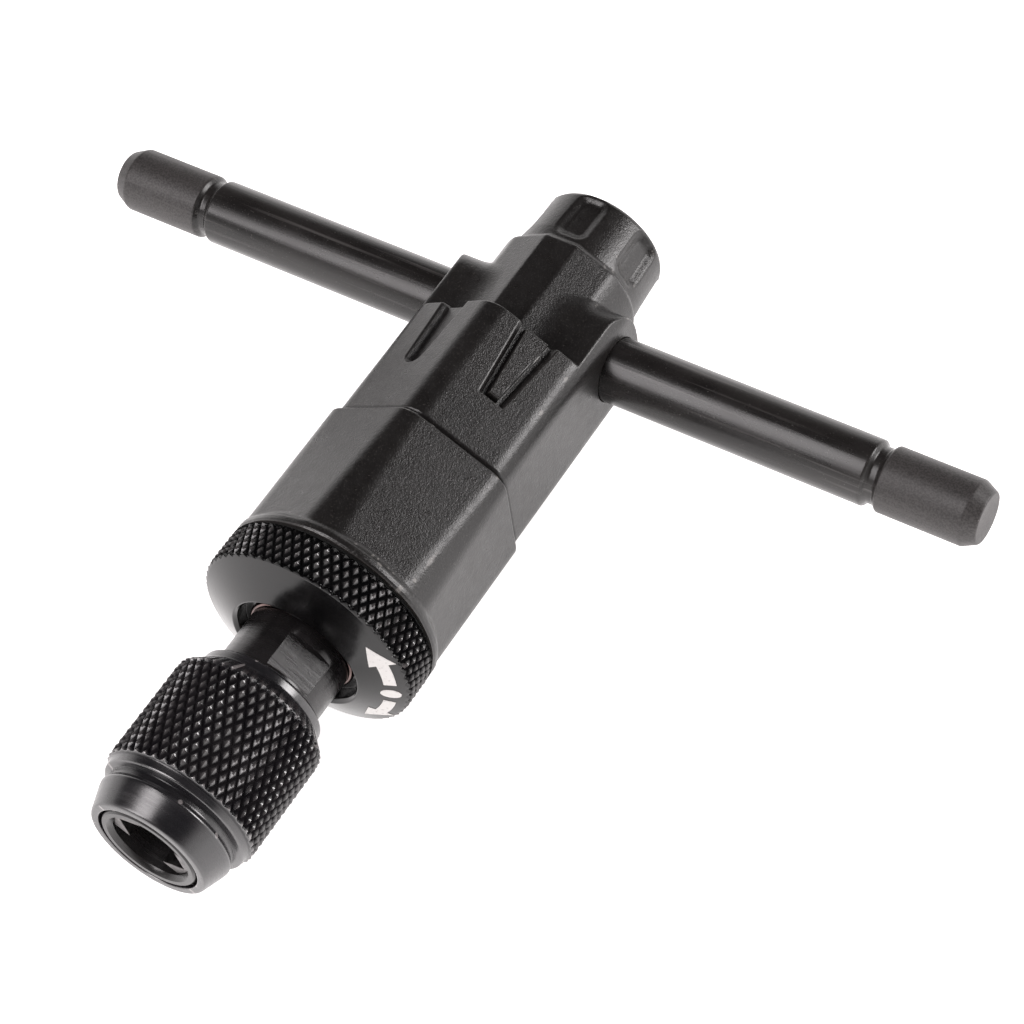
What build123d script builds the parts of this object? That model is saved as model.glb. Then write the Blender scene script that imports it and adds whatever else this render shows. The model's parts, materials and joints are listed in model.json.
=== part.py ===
from build123d import *
from math import cos, sin, radians
import os

os.makedirs("parts", exist_ok=True)

# ---------------------------------------------------------------------------
# Driving dimensions, mm.
# X runs along the tommy bar, Y along the spindle (chuck towards -Y, cap towards
# +Y), Z up. Stations named S_ are distances from the bar's axis towards the chuck.
# ---------------------------------------------------------------------------
BAR_R = 3.5
BAR_HALF = 51.8
BAR_CHAMFER_LEN = 1.5
BAR_CHAMFER_R = 0.75
GROOVE_X = 40.3
GROOVE_TOP = 1.7
GROOVE_FLOOR = 0.8
GROOVE_DEPTH = 0.5
BAR_HOLE_R = 3.6

S_NOSE = 69.5
S_CAP = -14.5
RING_R = 11.9
AXIS_Z = RING_R
BAR_Y = (S_NOSE + S_CAP) / 2

# housing
SKIRT_R = 11.7
S_RIM = 38.0
S_LEDGE = 36.8
S_STEP = 21.2
S_SHOULDER = 5.3
LOWER_R = 11.6
LOWER_FLAT_FRONT = 10.8
LOWER_FLAT_REAR = 10.45
UPPER_R = 11.0
UPPER_FLAT = 9.95
NECK_R = 8.0
NECK_FLAT = 7.65
NECK_BEVEL = 7.8
S_NECK_END = -8.0
CAP_R = 7.4
CAP_END_R = 7.1
EAR_HALF_Z = 6.0
EAR_END = -4.6
FLUTE_DEPTH = 0.6
FLUTE_LENGTH = 5.8
FLUTE_WIDTH = 3.6
FLUTE_CORNER = 1.2
S_FLUTE = -11.3
RECESS_DEPTH = 0.8
RECESS_WIDE = 2.45
RECESS_NARROW = 1.45
S_RECESS = 14.75
BLOCK_WIDE = 1.55
BLOCK_NARROW = 0.7
S_BLOCK = 14.2
SLOT_WIDE = 2.0
SLOT_NARROW = 1.25
S_SLOT = 13.1
CHAMBER_R = 8.6
S_CHAMBER = 26.0
REAR_BORE_R = 4.6
S_REAR_BORE = 12.2

# selector ring
S_RING_REAR = 38.5
S_RING_EDGE = 42.8
S_RING_FACE = 44.7
RING_MOUTH_R = 6.85
RING_PILOT_R = 6.75
SEAL_INNER_R = 10.9
SEAL_OUTER_R = 11.2
DETENT_R = 10.0
SPRING_SEAT = 33.2
RING_FLANGE_R = 5.75
S_FLANGE_REAR = 42.2
S_FLANGE_FRONT = 43.0
SELECTOR_SWING = 25.0
DOT_ANGLE = -10.0
DOT_RADIAL = 0.95
DOT_SIDEWAYS = 0.72
MARK_R = 10.2

# spindle and bushes
NECK_SHAFT_R = 5.6
BUSH_BORE_R = 5.65
WRENCH_FLAT = 5.0
WRENCH_FLAT_ANGLE = 52.0
REAR_JOURNAL_R = 3.5
GEAR_SEAT_R = 4.0
NOSE_SHAFT_R = 5.3
SHANK_BORE_R = 4.2
SNAP_WIRE_R = 0.34
S_GEAR_REAR = 28.4
S_GEAR_FRONT = 34.4
GEAR_TIP_R = 5.9
GEAR_ROOT_R = 5.2
GEAR_TEETH = 16

# pawls
PAWL_PIVOT_R = 7.2
PAWL_PIVOT_ANGLE = 55.0
PAWL_PIN_R = 0.6

# chuck
SLEEVE_R = 8.3
S_SLEEVE_REAR = 50.0
S_KNURL_REAR = 52.8
S_KNURL_FRONT = 64.2
SLEEVE_COLLAR_R = 6.8
S_NOSE_GROOVE = 65.5
NOSE_GROOVE_R = 7.05
NOSE_R = 7.35
NOSE_MOUTH_R = 5.55
S_STOP_GROOVE = 56.0
STOP_GROOVE_R = 7.1
JAW_ANGLE = -32.0
JAW_HALF_WIDTH = 1.9
JAW_CORNER_R = 3.84
S_JAW_REAR = 56.6
S_JAW_FRONT = 68.8


def across(station):
    """Plane square to the spindle, seen from the chuck end: local x is X, local y is Z."""
    return Plane(origin=(0, BAR_Y - station, AXIS_Z), x_dir=(1, 0, 0), z_dir=(0, -1, 0))


def across_turned(station, angle):
    """The same plane with its local x turned to an angle from X towards Z."""
    direction = (cos(radians(angle)), 0, sin(radians(angle)))
    return Plane(origin=(0, BAR_Y - station, AXIS_Z), x_dir=direction, z_dir=(0, -1, 0))


def polar(radius, degrees):
    return (radius * cos(radians(degrees)), radius * sin(radians(degrees)))


# plane that holds the spindle axis: local x is the station, local y the radius
LENGTHWISE = Plane(origin=(0, BAR_Y, AXIS_Z), x_dir=(0, -1, 0), z_dir=(-1, 0, 0))
SPINDLE_AXIS = Axis((0, BAR_Y, AXIS_Z), (0, -1, 0))
# plane that holds the bar axis: local x is X, local y is Z
BAR_PLANE = Plane(origin=(0, BAR_Y, AXIS_Z), x_dir=(1, 0, 0), z_dir=(0, -1, 0))
BAR_AXIS = Axis((0, BAR_Y, AXIS_Z), (1, 0, 0))


def turned(points, mode=Mode.ADD):
    """Revolve a (station, radius) outline about the spindle axis."""
    with BuildSketch(LENGTHWISE) as outline:
        with BuildLine():
            Polyline(*points, close=True)
        make_face()
    revolve(outline.sketch, axis=SPINDLE_AXIS, mode=mode)


def flat_cut(angle, apothem_rear, apothem_front, s_rear, s_front):
    """Cut one flat whose distance from the axis changes evenly along the length."""
    outward = Vector(cos(radians(angle)), 0, sin(radians(angle)))
    along = Vector(0, -1, 0)
    centre = Vector(0, BAR_Y, AXIS_Z)
    plane = Plane(origin=centre, x_dir=along, z_dir=outward.cross(along) * -1)
    far = SKIRT_R + 3
    with BuildSketch(plane) as outside:
        with BuildLine():
            Polyline((s_rear, apothem_rear), (s_front, apothem_front), (s_front, far), (s_rear, far), close=True)
        make_face()
    extrude(outside.sketch, amount=SKIRT_R, both=True, mode=Mode.SUBTRACT)


def coil(start, direction, length, radius, wire, turns):
    """Round-wire compression spring from start, along direction."""
    with BuildPart() as spring:
        with BuildLine() as path:
            Helix(pitch=length / turns, height=length, radius=radius, center=start, direction=direction)
        with BuildSketch(Plane(origin=path.line @ 0, z_dir=path.line % 0)):
            Circle(wire)
        sweep(is_frenet=True)
    return spring.part


# ---------------------------------------------------------------------------
# Housing: die-cast body, round skirt at the ring end, six flats, two ears round
# the bar, narrow neck and a round cap end with six finger dimples
# ---------------------------------------------------------------------------
with BuildPart() as lower_body:
    turned([(S_STEP, 0), (S_STEP, LOWER_R - 0.55), (S_STEP + 0.8, LOWER_R), (S_LEDGE + 0.4, LOWER_R),
            (S_LEDGE + 0.7, SKIRT_R), (S_RIM - 0.15, SKIRT_R), (S_RIM, SKIRT_R - 0.15), (S_RIM, 0)])
    for k in range(6):
        flat_cut(60 * k, LOWER_FLAT_REAR, LOWER_FLAT_FRONT, S_STEP - 1, S_LEDGE)

with BuildPart() as upper_body:
    turned([(S_SHOULDER, 0), (S_SHOULDER, UPPER_R - 0.5), (S_SHOULDER + 0.5, UPPER_R), (S_STEP + 0.5, UPPER_R),
            (S_STEP + 0.5, 0)])
    for k in range(6):
        flat_cut(60 * k, UPPER_FLAT, UPPER_FLAT, S_SHOULDER - 1, S_STEP + 1)

with BuildPart() as ears:
    turned([(EAR_END, 0), (EAR_END, UPPER_R), (S_SHOULDER + 1, UPPER_R), (S_SHOULDER + 1, 0)])
    for k in range(6):
        flat_cut(60 * k, UPPER_FLAT, UPPER_FLAT, EAR_END - 1, S_SHOULDER + 2)
    with BuildSketch(LENGTHWISE):
        with BuildLine():
            Line((S_SHOULDER + 1, EAR_HALF_Z), (0, EAR_HALF_Z))
            ThreePointArc((0, EAR_HALF_Z), (EAR_END + 0.1, 0), (0, -EAR_HALF_Z))
            Line((0, -EAR_HALF_Z), (S_SHOULDER + 1, -EAR_HALF_Z))
            Line((S_SHOULDER + 1, -EAR_HALF_Z), (S_SHOULDER + 1, EAR_HALF_Z))
        make_face()
    extrude(amount=SKIRT_R, both=True, mode=Mode.INTERSECT)

with BuildPart() as housing:
    add(lower_body.part)
    add(upper_body.part)
    add(ears.part)
    # neck and cap end
    turned([(S_CAP, 0), (S_CAP, CAP_END_R - 0.5), (S_CAP + 0.5, CAP_END_R), (-9.0, CAP_R), (S_NECK_END, CAP_R),
            (S_NECK_END + 1.5, NECK_R), (S_SHOULDER + 0.5, NECK_R), (S_SHOULDER + 0.5, 0)])
    for angle in (60, 120, 240, 300):
        flat_cut(angle, NECK_FLAT, NECK_FLAT, S_NECK_END + 0.8, S_SHOULDER)
    for angle in (90, 270):
        flat_cut(angle, NECK_BEVEL, NECK_BEVEL, S_NECK_END + 0.8, S_SHOULDER)
    # finger flutes round the cap end
    for k in range(6):
        outward = Vector(cos(radians(30 + 60 * k)), 0, sin(radians(30 + 60 * k)))
        bed = Plane(origin=Vector(0, BAR_Y, AXIS_Z) + outward * (CAP_R - FLUTE_DEPTH), x_dir=(0, -1, 0), z_dir=outward)
        with BuildSketch(bed):
            with Locations((S_FLUTE, 0)):
                RectangleRounded(FLUTE_LENGTH, FLUTE_WIDTH, FLUTE_CORNER)
        extrude(amount=FLUTE_DEPTH + 1, mode=Mode.SUBTRACT)
    # wedge recess with a raised block in the 60 degree flat, and its opposite twin
    for angle in (60, 240):
        outward = Vector(cos(radians(angle)), 0, sin(radians(angle)))
        face = Plane(origin=Vector(0, BAR_Y, AXIS_Z) + outward * UPPER_FLAT, x_dir=(0, -1, 0), z_dir=outward)
        with BuildSketch(face):
            with BuildLine():
                Polyline((S_SHOULDER - 0.2, -RECESS_WIDE), (S_SHOULDER - 0.2, RECESS_WIDE), (S_RECESS, RECESS_NARROW),
                         (S_RECESS, -RECESS_NARROW), close=True)
            make_face()
        extrude(amount=-RECESS_DEPTH, mode=Mode.SUBTRACT)
        with BuildSketch(face.offset(-1.0)):
            with BuildLine():
                Polyline((S_SHOULDER - 0.2, -BLOCK_WIDE), (S_SHOULDER - 0.2, BLOCK_WIDE), (S_BLOCK, BLOCK_NARROW),
                         (S_BLOCK, -BLOCK_NARROW), close=True)
            make_face()
        extrude(amount=1.0)
    # round-ended tapering recess in the 120 degree flat, and its opposite twin
    for angle in (120, 300):
        outward = Vector(cos(radians(angle)), 0, sin(radians(angle)))
        face = Plane(origin=Vector(0, BAR_Y, AXIS_Z) + outward * UPPER_FLAT, x_dir=(0, -1, 0), z_dir=outward)
        with BuildSketch(face):
            with BuildLine():
                Polyline((S_SHOULDER - 0.2, -SLOT_WIDE), (S_SHOULDER - 0.2, SLOT_WIDE), (S_SLOT, SLOT_NARROW),
                         (S_SLOT, -SLOT_NARROW), close=True)
            make_face()
            with Locations((S_SLOT, 0)):
                Circle(SLOT_NARROW)
        extrude(amount=-RECESS_DEPTH, mode=Mode.SUBTRACT)
    # bar hole
    with BuildSketch(LENGTHWISE):
        Circle(BAR_HOLE_R)
    extrude(amount=SKIRT_R + 2, both=True, mode=Mode.SUBTRACT)
    # ratchet chamber, rear bearing bore, detent bore and plug seat
    turned([(S_CHAMBER, 0), (S_CHAMBER, CHAMBER_R), (S_RIM + 1, CHAMBER_R), (S_RIM + 1, 0)], Mode.SUBTRACT)
    turned([(S_REAR_BORE, 0), (S_REAR_BORE, REAR_BORE_R), (S_CHAMBER, REAR_BORE_R), (S_CHAMBER, 0)], Mode.SUBTRACT)
    turned([(S_CAP - 1, 0), (S_CAP - 1, 3.2), (-10.5, 3.2), (-10.5, 1.95), (0, 1.95), (0, 0)], Mode.SUBTRACT)
    # blind holes for the pawl pins and the selector's detent ball
    with BuildSketch(across(S_CHAMBER - 2)):
        for side in (-1, 1):
            with Locations(polar(PAWL_PIVOT_R, 90 + side * PAWL_PIVOT_ANGLE)):
                Circle(PAWL_PIN_R)
    extrude(amount=3, mode=Mode.SUBTRACT)
    with BuildSketch(across(33.0)):
        with Locations(polar(DETENT_R, 90)):
            Circle(0.85)
    extrude(amount=S_RIM - 33.0 + 1, mode=Mode.SUBTRACT)
housing.part.label = "housing"
export_step(housing.part, "parts/housing.step")

# ---------------------------------------------------------------------------
# Tommy bar with a detent groove near each end
# ---------------------------------------------------------------------------
with BuildPart() as tommy_bar:
    with BuildSketch(BAR_PLANE):
        with BuildLine():
            half = [(BAR_HALF, 0), (BAR_HALF, BAR_R - BAR_CHAMFER_R), (BAR_HALF - BAR_CHAMFER_LEN, BAR_R),
                    (GROOVE_X + GROOVE_TOP / 2, BAR_R), (GROOVE_X + GROOVE_FLOOR / 2, BAR_R - GROOVE_DEPTH),
                    (GROOVE_X - GROOVE_FLOOR / 2, BAR_R - GROOVE_DEPTH), (GROOVE_X - GROOVE_TOP / 2, BAR_R)]
            Polyline(*half, *[(-x, r) for x, r in reversed(half)], close=True)
        make_face()
    revolve(axis=BAR_AXIS)
tommy_bar.part.label = "tommy_bar"
export_step(tommy_bar.part, "parts/tommy_bar.step")

# ---------------------------------------------------------------------------
# Bar detent: ball, spring and the plug in the cap end
# ---------------------------------------------------------------------------
BALL_R = 1.85
BALL_S = -(BAR_R + BALL_R + 0.02)
with BuildPart() as bar_detent_ball:
    with Locations(Location((0, BAR_Y - BALL_S, AXIS_Z))):
        Sphere(radius=BALL_R)
bar_detent_ball.part.label = "bar_detent_ball"
export_step(bar_detent_ball.part, "parts/bar_detent_ball.step")

SPRING_S = BALL_S - 1.35
bar_detent_spring = coil((0, BAR_Y - SPRING_S + 0.3, AXIS_Z), (0, 1, 0), 3.2, 1.35, 0.25, 4)
bar_detent_spring.label = "bar_detent_spring"
export_step(bar_detent_spring, "parts/bar_detent_spring.step")

with BuildPart() as detent_plug:
    turned([(-13.9, 0), (-13.9, 3.0), (-13.7, 3.17), (-10.6, 3.17), (-10.6, 0)])
    with BuildSketch(across(-13.9)):
        RegularPolygon(radius=1.6, side_count=6)
    extrude(amount=1.8, mode=Mode.SUBTRACT)
detent_plug.part.label = "detent_plug"
export_step(detent_plug.part, "parts/detent_plug.step")

# ---------------------------------------------------------------------------
# Selector ring, its drive pin, printed marks, retaining wire, detent and seal
# ---------------------------------------------------------------------------
POCKET_R = 0.8
with BuildPart() as selector_ring:
    turned([(S_RING_REAR, RING_PILOT_R), (S_RING_REAR, RING_R - 0.35), (S_RING_REAR + 0.3, RING_R),
            (S_RING_EDGE - 0.3, RING_R), (S_RING_EDGE, RING_R - 0.35), (S_RING_FACE, RING_MOUTH_R + 0.35),
            (S_RING_FACE - 0.35, RING_MOUTH_R), (S_FLANGE_FRONT, RING_MOUTH_R), (S_FLANGE_FRONT, RING_FLANGE_R),
            (S_FLANGE_REAR, RING_FLANGE_R), (S_FLANGE_REAR, RING_PILOT_R)])
    for step in (-1, 0, 1):
        x, z = polar(DETENT_R, 90 + step * SELECTOR_SWING)
        with Locations(Location((x, BAR_Y - S_RING_REAR + 0.55, AXIS_Z + z))):
            Sphere(radius=POCKET_R + 0.05, mode=Mode.SUBTRACT)
    with BuildSketch(across(S_RING_REAR - 0.5)):
        with Locations(polar(7.75, 90)):
            Circle(0.6)
    extrude(amount=2.1, mode=Mode.SUBTRACT)
selector_ring.part.label = "selector_ring"
export_step(selector_ring.part, "parts/selector_ring.step")

with BuildPart() as selector_pin:
    with BuildSketch(across(29.0)):
        with Locations(polar(7.75, 90)):
            Circle(0.6)
    extrude(amount=S_RING_REAR + 1.6 - 29.0)
selector_pin.part.label = "selector_pin"
export_step(selector_pin.part, "parts/selector_pin.step")


def arc_arrow(start, neck, tip, half_width, head_half):
    """Curved arrow on the ring face between two angles, as a closed outline."""
    steps = 8
    outer = [polar(MARK_R + half_width, start + (neck - start) * i / steps) for i in range(steps + 1)]
    inner = [polar(MARK_R - half_width, start + (neck - start) * i / steps) for i in range(steps + 1)]
    head = [polar(RING_R - 0.4, neck), polar(MARK_R - 0.3, tip), polar(MARK_R - head_half, neck)]
    return outer + head + inner[::-1]


with BuildPart() as direction_marks:
    turned([(S_RING_EDGE, RING_R - 0.35), (S_RING_FACE, RING_MOUTH_R + 0.35), (S_RING_FACE + 0.05, RING_MOUTH_R + 0.35),
            (S_RING_EDGE + 0.05, RING_R - 0.35)])
    with BuildSketch(across(S_RING_EDGE - 1)):
        for side in (-1, 1):
            with BuildLine():
                Polyline(*arc_arrow(DOT_ANGLE + side * 9, DOT_ANGLE + side * 26.5, DOT_ANGLE + side * 42, 0.57, 1.25),
                         close=True)
            make_face()
        with Locations(Location((*polar(MARK_R, DOT_ANGLE), 0), (0, 0, DOT_ANGLE))):
            Ellipse(DOT_RADIAL, DOT_SIDEWAYS)
    extrude(amount=4, mode=Mode.INTERSECT)
direction_marks.part.label = "direction_marks"
export_step(direction_marks.part, "parts/direction_marks.step")

with BuildPart() as ring_snap_ring:
    with BuildSketch(LENGTHWISE):
        with Locations((S_FLANGE_FRONT + SNAP_WIRE_R + 0.06, NECK_SHAFT_R + 0.04)):
            Circle(SNAP_WIRE_R)
    revolve(axis=SPINDLE_AXIS, revolution_arc=330)
ring_snap_ring.part.label = "ring_snap_ring"
export_step(ring_snap_ring.part, "parts/ring_snap_ring.step")

with BuildPart() as selector_ball:
    x, z = polar(DETENT_R, 90)
    with Locations(Location((x, BAR_Y - S_RING_REAR + POCKET_R + 0.02, AXIS_Z + z))):
        Sphere(radius=POCKET_R)
selector_ball.part.label = "selector_ball"
export_step(selector_ball.part, "parts/selector_ball.step")

selector_spring = coil((0, BAR_Y - SPRING_SEAT, AXIS_Z + DETENT_R), (0, -1, 0), S_RIM - 1.3 - SPRING_SEAT, 0.6, 0.15, 5)
selector_spring.label = "selector_spring"
export_step(selector_spring, "parts/selector_spring.step")

with BuildPart() as ring_seal:
    turned([(S_RIM + 0.02, SEAL_INNER_R), (S_RIM + 0.02, SEAL_OUTER_R), (S_RING_REAR - 0.02, SEAL_OUTER_R),
            (S_RING_REAR - 0.02, SEAL_INNER_R)])
ring_seal.part.label = "ring_seal"
export_step(ring_seal.part, "parts/ring_seal.step")

# ---------------------------------------------------------------------------
# Bushes and washer that carry the spindle
# ---------------------------------------------------------------------------
with BuildPart() as front_bush:
    turned([(35.0, BUSH_BORE_R), (35.0, CHAMBER_R), (S_RIM - 0.2, CHAMBER_R), (S_RIM - 0.2, RING_PILOT_R - 0.05),
            (S_FLANGE_REAR - 0.1, RING_PILOT_R - 0.05), (S_FLANGE_REAR - 0.1, BUSH_BORE_R)])
    # window for the selector pin
    with BuildSketch(across(34.5)):
        sweep_half = SELECTOR_SWING + 7
        rim = [polar(CHAMBER_R + 1.5, 90 + sweep_half * i / 4) for i in range(-4, 5)]
        root = [polar(6.95, 90 + sweep_half * i / 4) for i in range(-4, 5)]
        with BuildLine():
            Polyline(*rim, *root[::-1], close=True)
        make_face()
    extrude(amount=5, mode=Mode.SUBTRACT)
    with BuildSketch(across(34.5)):
        for side in (-1, 1):
            with Locations(polar(PAWL_PIVOT_R, 90 + side * PAWL_PIVOT_ANGLE)):
                Circle(PAWL_PIN_R)
    extrude(amount=1.5, mode=Mode.SUBTRACT)
front_bush.part.label = "front_bush"
export_step(front_bush.part, "parts/front_bush.step")

with BuildPart() as rear_bush:
    turned([(S_REAR_BORE + 0.6, REAR_JOURNAL_R + 0.05), (S_REAR_BORE + 0.6, REAR_BORE_R),
            (S_CHAMBER - 0.1, REAR_BORE_R), (S_CHAMBER - 0.1, REAR_JOURNAL_R + 0.05)])
rear_bush.part.label = "rear_bush"
export_step(rear_bush.part, "parts/rear_bush.step")

with BuildPart() as thrust_washer:
    turned([(S_CHAMBER + 0.02, REAR_JOURNAL_R + 0.1), (S_CHAMBER + 0.02, 5.4), (S_CHAMBER + 0.9, 5.4),
            (S_CHAMBER + 0.9, REAR_JOURNAL_R + 0.1)])
thrust_washer.part.label = "thrust_washer"
export_step(thrust_washer.part, "parts/thrust_washer.step")

# ---------------------------------------------------------------------------
# Spindle with wrench flats, ratchet gear and its retaining ring
# ---------------------------------------------------------------------------
with BuildPart() as spindle:
    turned([(S_REAR_BORE + 1.0, 0), (S_REAR_BORE + 1.0, REAR_JOURNAL_R - 0.4), (S_REAR_BORE + 1.4, REAR_JOURNAL_R),
            (27.2, REAR_JOURNAL_R), (27.2, REAR_JOURNAL_R - 0.4), (28.0, REAR_JOURNAL_R - 0.4), (28.0, GEAR_SEAT_R),
            (S_GEAR_FRONT + 0.1, GEAR_SEAT_R), (S_GEAR_FRONT + 0.1, NECK_SHAFT_R), (55.5, NECK_SHAFT_R),
            (55.5, NOSE_SHAFT_R), (S_NOSE - 0.2, NOSE_SHAFT_R), (S_NOSE, NOSE_SHAFT_R - 0.2), (S_NOSE, 0)])
    # groove for the snap ring
    with BuildSketch(LENGTHWISE):
        with Locations((S_FLANGE_FRONT + 0.45, NECK_SHAFT_R + 0.08)):
            Circle(0.42)
    revolve(axis=SPINDLE_AXIS, mode=Mode.SUBTRACT)
    # wrench flats
    for angle in (WRENCH_FLAT_ANGLE, WRENCH_FLAT_ANGLE + 180):
        outward = Vector(cos(radians(angle)), 0, sin(radians(angle)))
        flat = Plane(origin=Vector(0, BAR_Y - 47.5, AXIS_Z) + outward * WRENCH_FLAT, x_dir=(0, -1, 0), z_dir=outward)
        with BuildSketch(flat):
            Rectangle(4.0, 12)
        extrude(amount=2, mode=Mode.SUBTRACT)
    # shank bore with its lead-in, open at the nose
    turned([(54.5, 0), (54.5, SHANK_BORE_R), (S_NOSE - 0.5, SHANK_BORE_R), (S_NOSE, SHANK_BORE_R + 0.4),
            (S_NOSE + 1, SHANK_BORE_R + 0.4), (S_NOSE + 1, 0)], Mode.SUBTRACT)
    # jaw slots
    with BuildSketch(across_turned(S_JAW_REAR - 0.1, JAW_ANGLE)):
        Rectangle(4 * SLEEVE_R, 2 * JAW_HALF_WIDTH + 0.1)
    extrude(amount=S_JAW_FRONT - S_JAW_REAR + 0.2, mode=Mode.SUBTRACT)
spindle.part.label = "spindle"
export_step(spindle.part, "parts/spindle.step")

with BuildPart() as ratchet_gear:
    with BuildSketch(across(S_GEAR_REAR)):
        with BuildLine():
            pitch = 360 / GEAR_TEETH
            teeth = []
            for k in range(GEAR_TEETH):
                for turn, radius in ((0.0, GEAR_ROOT_R), (0.22, GEAR_ROOT_R), (0.40, GEAR_TIP_R), (0.82, GEAR_TIP_R)):
                    teeth.append(polar(radius, (k + turn) * pitch))
            Polyline(*teeth, close=True)
        make_face()
        Circle(GEAR_SEAT_R, mode=Mode.SUBTRACT)
    extrude(amount=S_GEAR_FRONT - S_GEAR_REAR)
ratchet_gear.part.label = "ratchet_gear"
export_step(ratchet_gear.part, "parts/ratchet_gear.step")

with BuildPart() as gear_circlip:
    with BuildSketch(across(27.25)):
        Circle(4.7)
        Circle(REAR_JOURNAL_R - 0.38, mode=Mode.SUBTRACT)
        with Locations((-4.5, 0)):
            Rectangle(4, 1.6, mode=Mode.SUBTRACT)
    extrude(amount=0.7)
gear_circlip.part.label = "gear_circlip"
export_step(gear_circlip.part, "parts/gear_circlip.step")

# ---------------------------------------------------------------------------
# Pawls, their pins and torsion springs
# ---------------------------------------------------------------------------
with BuildPart() as pawl_left:
    with BuildSketch(across(S_GEAR_REAR + 0.2)):
        back = [polar(r, a) for r, a in ((7.75, 124), (7.95, 140), (7.95, 152), (7.6, 165), (7.1, 172))]
        tip = [polar(r, a) for r, a in ((6.05, 174), (6.05, 170), (6.75, 162), (6.75, 140), (6.9, 124))]
        with BuildLine():
            Polyline(*back, *tip, close=True)
        make_face()
        with Locations(polar(PAWL_PIVOT_R, 90 + PAWL_PIVOT_ANGLE)):
            Circle(1.1)
            Circle(PAWL_PIN_R + 0.05, mode=Mode.SUBTRACT)
    extrude(amount=S_GEAR_FRONT - S_GEAR_REAR - 0.4)
pawl_left.part.label = "pawl_left"
export_step(pawl_left.part, "parts/pawl_left.step")

pawl_right = mirror(pawl_left.part, about=Plane.YZ)
pawl_right.label = "pawl_right"
export_step(pawl_right, "parts/pawl_right.step")

with BuildPart() as pawl_pins:
    with BuildSketch(across(S_CHAMBER - 1.9)):
        for side in (-1, 1):
            with Locations(polar(PAWL_PIVOT_R, 90 + side * PAWL_PIVOT_ANGLE)):
                Circle(PAWL_PIN_R)
    extrude(amount=11.8)
pawl_pins.part.label = "pawl_pins"
export_step(pawl_pins.part, "parts/pawl_pins.step")

for side, name in ((1, "pawl_spring_left"), (-1, "pawl_spring_right")):
    px, pz = polar(PAWL_PIVOT_R, 90 + side * PAWL_PIVOT_ANGLE)
    torsion = coil((px, BAR_Y - S_CHAMBER - 0.3, AXIS_Z + pz), (0, -1, 0), 1.7, 0.95, 0.18, 3)
    torsion.label = name
    export_step(torsion, "parts/" + name + ".step")

# ---------------------------------------------------------------------------
# Chuck: sleeve, stop ring and two V jaws
# ---------------------------------------------------------------------------
with BuildPart() as chuck_sleeve:
    turned([(S_SLEEVE_REAR, BUSH_BORE_R), (S_SLEEVE_REAR, 6.2), (S_SLEEVE_REAR + 0.3, SLEEVE_COLLAR_R - 0.15),
            (S_KNURL_REAR - 1.5, SLEEVE_COLLAR_R), (S_KNURL_REAR, SLEEVE_R),
            (S_KNURL_FRONT, SLEEVE_R), (S_KNURL_FRONT + 0.2, 7.9), (S_NOSE_GROOVE - 0.2, 7.8),
            (S_NOSE_GROOVE, NOSE_GROOVE_R), (S_NOSE_GROOVE + 0.7, NOSE_GROOVE_R),
            (S_NOSE_GROOVE + 1.1, NOSE_R), (S_NOSE_GROOVE + 1.5, NOSE_R - 0.1), (S_NOSE - 0.15, 6.45),
            (S_NOSE, 6.3), (S_NOSE, NOSE_MOUTH_R), (64.4, NOSE_MOUTH_R), (62.0, 6.9), (57.0, 6.9),
            (57.0, STOP_GROOVE_R), (S_STOP_GROOVE, STOP_GROOVE_R), (S_STOP_GROOVE, BUSH_BORE_R)])
chuck_sleeve.part.label = "chuck_sleeve"
export_step(chuck_sleeve.part, "parts/chuck_sleeve.step")

with BuildPart() as sleeve_stop_ring:
    turned([(S_STOP_GROOVE + 0.1, BUSH_BORE_R + 0.1), (S_STOP_GROOVE + 0.1, STOP_GROOVE_R - 0.1),
            (S_STOP_GROOVE + 0.55, STOP_GROOVE_R - 0.1), (S_STOP_GROOVE + 0.55, BUSH_BORE_R + 0.1)])
    with BuildSketch(across(S_STOP_GROOVE)):
        with Locations((0, -6.3)):
            Rectangle(1.4, 3)
    extrude(amount=1, mode=Mode.SUBTRACT)
sleeve_stop_ring.part.label = "sleeve_stop_ring"
export_step(sleeve_stop_ring.part, "parts/sleeve_stop_ring.step")

for name, angle in (("jaw_right", JAW_ANGLE), ("jaw_left", JAW_ANGLE + 180)):
    outward = Vector(cos(radians(angle)), 0, sin(radians(angle)))
    jaw_side = Plane(origin=Vector(0, BAR_Y, AXIS_Z), x_dir=(0, -1, 0), z_dir=Vector(0, -1, 0).cross(outward))
    with BuildPart() as jaw:
        with BuildSketch(jaw_side):
            with BuildLine():
                Polyline((S_JAW_REAR + 0.2, 1.7), (S_JAW_REAR + 0.2, 6.5), (61.5, 6.5), (63.9, 5.15),
                         (S_JAW_FRONT, 5.15), (S_JAW_FRONT, 1.7), close=True)
            make_face()
        extrude(amount=JAW_HALF_WIDTH, both=True)
        with BuildSketch(across_turned(S_JAW_REAR - 1, angle)):
            with BuildLine():
                Polyline((JAW_CORNER_R, 0), (0, JAW_CORNER_R), (0, -JAW_CORNER_R), close=True)
            make_face()
        extrude(amount=20, mode=Mode.SUBTRACT)
    jaw.part.label = name
    export_step(jaw.part, "parts/" + name + ".step")
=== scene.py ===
"""Ratcheting tap wrench on a pale floor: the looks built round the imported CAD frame."""
import json
import math

import bmesh
import bpy
import numpy as np
from mathutils import Matrix, Vector


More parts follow.
